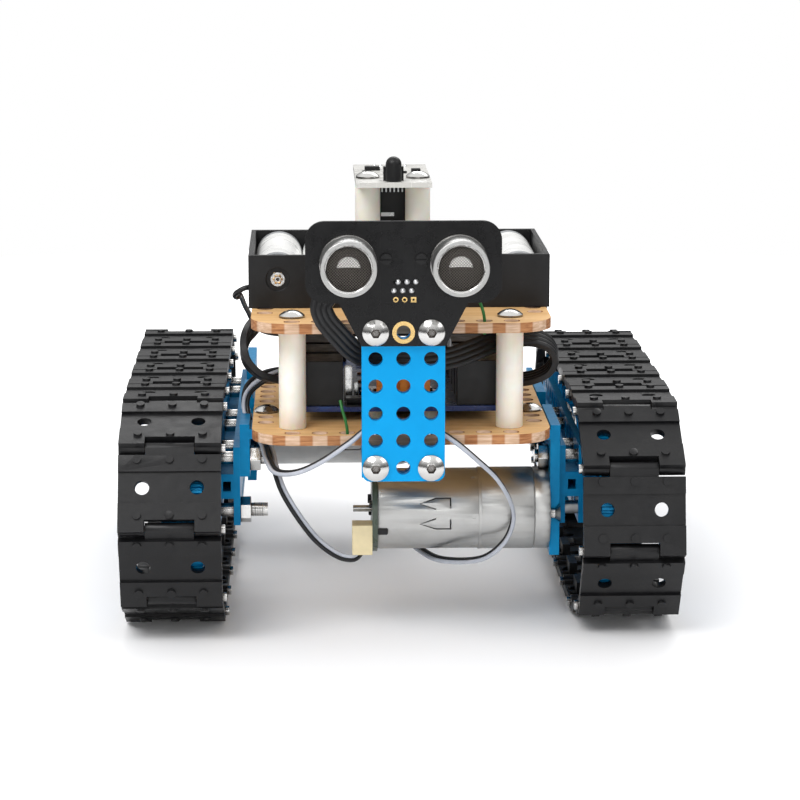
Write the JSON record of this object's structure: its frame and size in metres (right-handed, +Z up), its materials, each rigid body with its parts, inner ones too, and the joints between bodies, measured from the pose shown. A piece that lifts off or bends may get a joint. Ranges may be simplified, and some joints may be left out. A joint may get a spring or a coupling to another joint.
{
  "type": "tracked robot",
  "caption": "Small tracked robot with aluminium side beams, plywood decks, geared motors, a distance sensor in front, a battery box and a remote-control receiver.",
  "frame": {"origin": "on the ground, under the middle of the robot's outline, 7.5 mm in front of the point midway between the four pulleys", "axes": "+X to the right seen from the front, the front faces -Y, +Z up"},
  "size_m": [0.166, 0.2042, 0.136],
  "materials": {
    "black_board": "gloss solder mask",
    "black_plastic": "matt",
    "blue_aluminium": "satin anodised",
    "blue_board": "gloss solder mask",
    "bright_steel": "polished",
    "bronze": "satin",
    "cell_sleeve": "gloss",
    "green_board": "gloss solder mask",
    "magnet": "matt",
    "nylon": "satin",
    "plug_plastic": "satin",
    "plywood": "matt, laser-cut edges",
    "red_plastic": "gloss",
    "satin_steel": "satin",
    "sky_aluminium": "satin anodised",
    "track_plastic": "matt, fine grain",
    "white_board": "gloss solder mask"
  },
  "bodies": {
    "chassis": {"left_side_beam": "blue_aluminium", "right_side_beam": "blue_aluminium", "lower_deck": "plywood", "upper_deck": "plywood", "deck_studs": "nylon", "deck_bolts": "bright_steel", "front_plate": "sky_aluminium", "front_plate_bracket": "blue_aluminium", "front_plate_bolts": "bright_steel", "corner_brackets": "blue_aluminium", "bracket_bolts": "bright_steel", "nuts": "bright_steel", "left_motor_bracket": "blue_aluminium", "right_motor_bracket": "blue_aluminium", "motor_screws": "bright_steel", "left_motor_can": "satin_steel", "right_motor_can": "satin_steel", "motor_magnets": "magnet", "left_gearbox_case": "satin_steel", "right_gearbox_case": "satin_steel", "left_motor_board": "green_board", "right_motor_board": "green_board", "motor_plugs": "plug_plastic", "idler_axles": "bright_steel", "idler_spacers": "nylon", "left_track_links": "track_plastic", "right_track_links": "track_plastic", "track_pins": "bright_steel", "battery_box": "black_plastic", "battery_cells": "cell_sleeve", "battery_contacts": "bright_steel", "sensor_board": "black_board", "sensor_transducers": "bright_steel", "sensor_screws": "black_plastic", "ir_board": "white_board", "ir_receiver": "black_plastic", "ir_studs": "nylon", "ir_bolts": "bright_steel", "main_board": "blue_board", "board_spacers": "nylon", "cable_jacks": "black_plastic", "power_sockets": "black_plastic"},
    "right_drive": {"right_output_shaft": "satin_steel", "right_drive_pulley": "blue_aluminium"},
    "right_idler": {"right_idler_pulley": "blue_aluminium", "right_idler_bushes": "bronze"},
    "right_rotor": {"right_motor_rotor": "satin_steel"},
    "right_first_gear": {"right_first_gear": "bronze"},
    "right_second_gear": {"right_second_gear": "bronze"},
    "right_third_gear": {"right_third_gear": "bronze"},
    "left_drive": {"left_output_shaft": "satin_steel", "left_drive_pulley": "blue_aluminium"},
    "left_idler": {"left_idler_pulley": "blue_aluminium", "left_idler_bushes": "bronze"},
    "left_rotor": {"left_motor_rotor": "satin_steel"},
    "left_first_gear": {"left_first_gear": "bronze"},
    "left_second_gear": {"left_second_gear": "bronze"},
    "left_third_gear": {"left_third_gear": "bronze"},
    "power_switch": {"switch_slider": "nylon"},
    "reset": {"reset_button": "red_plastic"}
  },
  "joints": [
    {"name": "right_drive_spin", "type": "hinge", "parent": "chassis", "child": "right_drive", "pos_m": [0, -0.0525, 0.035], "axis": [1, 0, 0], "continuous": true},
    {"name": "right_idler_spin", "type": "hinge", "parent": "chassis", "child": "right_idler", "pos_m": [0, 0.0675, 0.035], "axis": [1, 0, 0], "continuous": true},
    {"name": "right_third_gear_spin", "type": "hinge", "parent": "chassis", "child": "right_third_gear", "pos_m": [0, -0.0525, 0.041], "axis": [1, 0, 0], "continuous": true},
    {"name": "right_second_gear_spin", "type": "hinge", "parent": "chassis", "child": "right_second_gear", "pos_m": [0, -0.0525, 0.035], "axis": [1, 0, 0], "continuous": true},
    {"name": "right_first_gear_spin", "type": "hinge", "parent": "chassis", "child": "right_first_gear", "pos_m": [0, -0.0525, 0.041], "axis": [1, 0, 0], "continuous": true},
    {"name": "right_rotor_spin", "type": "hinge", "parent": "chassis", "child": "right_rotor", "pos_m": [0, -0.0525, 0.035], "axis": [1, 0, 0], "continuous": true},
    {"name": "left_drive_spin", "type": "hinge", "parent": "chassis", "child": "left_drive", "pos_m": [0, 0.0675, 0.035], "axis": [1, 0, 0], "continuous": true},
    {"name": "left_idler_spin", "type": "hinge", "parent": "chassis", "child": "left_idler", "pos_m": [0, -0.0525, 0.035], "axis": [1, 0, 0], "continuous": true},
    {"name": "left_third_gear_spin", "type": "hinge", "parent": "chassis", "child": "left_third_gear", "pos_m": [0, 0.0675, 0.041], "axis": [1, 0, 0], "continuous": true},
    {"name": "left_second_gear_spin", "type": "hinge", "parent": "chassis", "child": "left_second_gear", "pos_m": [0, 0.0675, 0.035], "axis": [1, 0, 0], "continuous": true},
    {"name": "left_first_gear_spin", "type": "hinge", "parent": "chassis", "child": "left_first_gear", "pos_m": [0, 0.0675, 0.041], "axis": [1, 0, 0], "continuous": true},
    {"name": "left_rotor_spin", "type": "hinge", "parent": "chassis", "child": "left_rotor", "pos_m": [0, 0.0675, 0.035], "axis": [1, 0, 0], "continuous": true},
    {"name": "power_switch_slide", "type": "slide", "parent": "chassis", "child": "power_switch", "axis": [1, 0, 0], "range_m": [0, 0.004]},
    {"name": "reset_press", "type": "slide", "parent": "chassis", "child": "reset", "axis": [0, 0, -1], "range_m": [0, 0.0003]}
  ],
  "couplings": [
    {"joint": "right_idler_spin", "follows": "right_drive_spin", "ratio": 1},
    {"joint": "right_third_gear_spin", "follows": "right_drive_spin", "ratio": -2.3333},
    {"joint": "right_second_gear_spin", "follows": "right_drive_spin", "ratio": 5.4444},
    {"joint": "right_first_gear_spin", "follows": "right_drive_spin", "ratio": -12.704},
    {"joint": "right_rotor_spin", "follows": "right_drive_spin", "ratio": 29.642},
    {"joint": "left_idler_spin", "follows": "left_drive_spin", "ratio": 1},
    {"joint": "left_third_gear_spin", "follows": "left_drive_spin", "ratio": -2.3333},
    {"joint": "left_second_gear_spin", "follows": "left_drive_spin", "ratio": 5.4444},
    {"joint": "left_first_gear_spin", "follows": "left_drive_spin", "ratio": -12.704},
    {"joint": "left_rotor_spin", "follows": "left_drive_spin", "ratio": 29.642}
  ]
}
